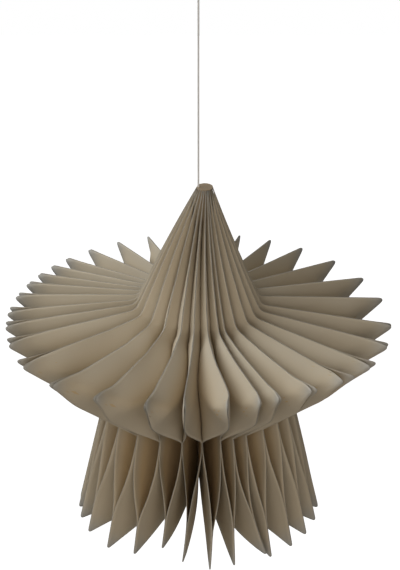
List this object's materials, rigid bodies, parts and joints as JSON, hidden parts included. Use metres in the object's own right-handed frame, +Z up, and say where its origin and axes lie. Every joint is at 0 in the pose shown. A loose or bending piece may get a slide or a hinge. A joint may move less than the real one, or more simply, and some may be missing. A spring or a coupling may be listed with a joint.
{
  "type": "honeycomb paper star ornament",
  "caption": "Hanging star of stiff cream paper leaves glued as a honeycomb and fanned right round, with a pleated cone, wide brim and flared skirt, on a taut white thread.",
  "frame": {"origin": "the point inside the top of the hanging loop that bears on the nail or hook", "axes": "+Z up along the thread; the star hangs below at negative Z; -Y is the front, where the first and last leaves of the fan meet; +X is to the right seen from the front"},
  "size_m": [0.098, 0.0979, 0.1646],
  "materials": {
    "paper": "matt uncoated cream card, slightly translucent",
    "thread": "white twisted cotton thread"
  },
  "bodies": {
    "root": {"paper_star": "paper", "hanging_thread": "thread", "thread_knot": "thread", "hanging_loop": "thread"}
  },
  "joints": []
}
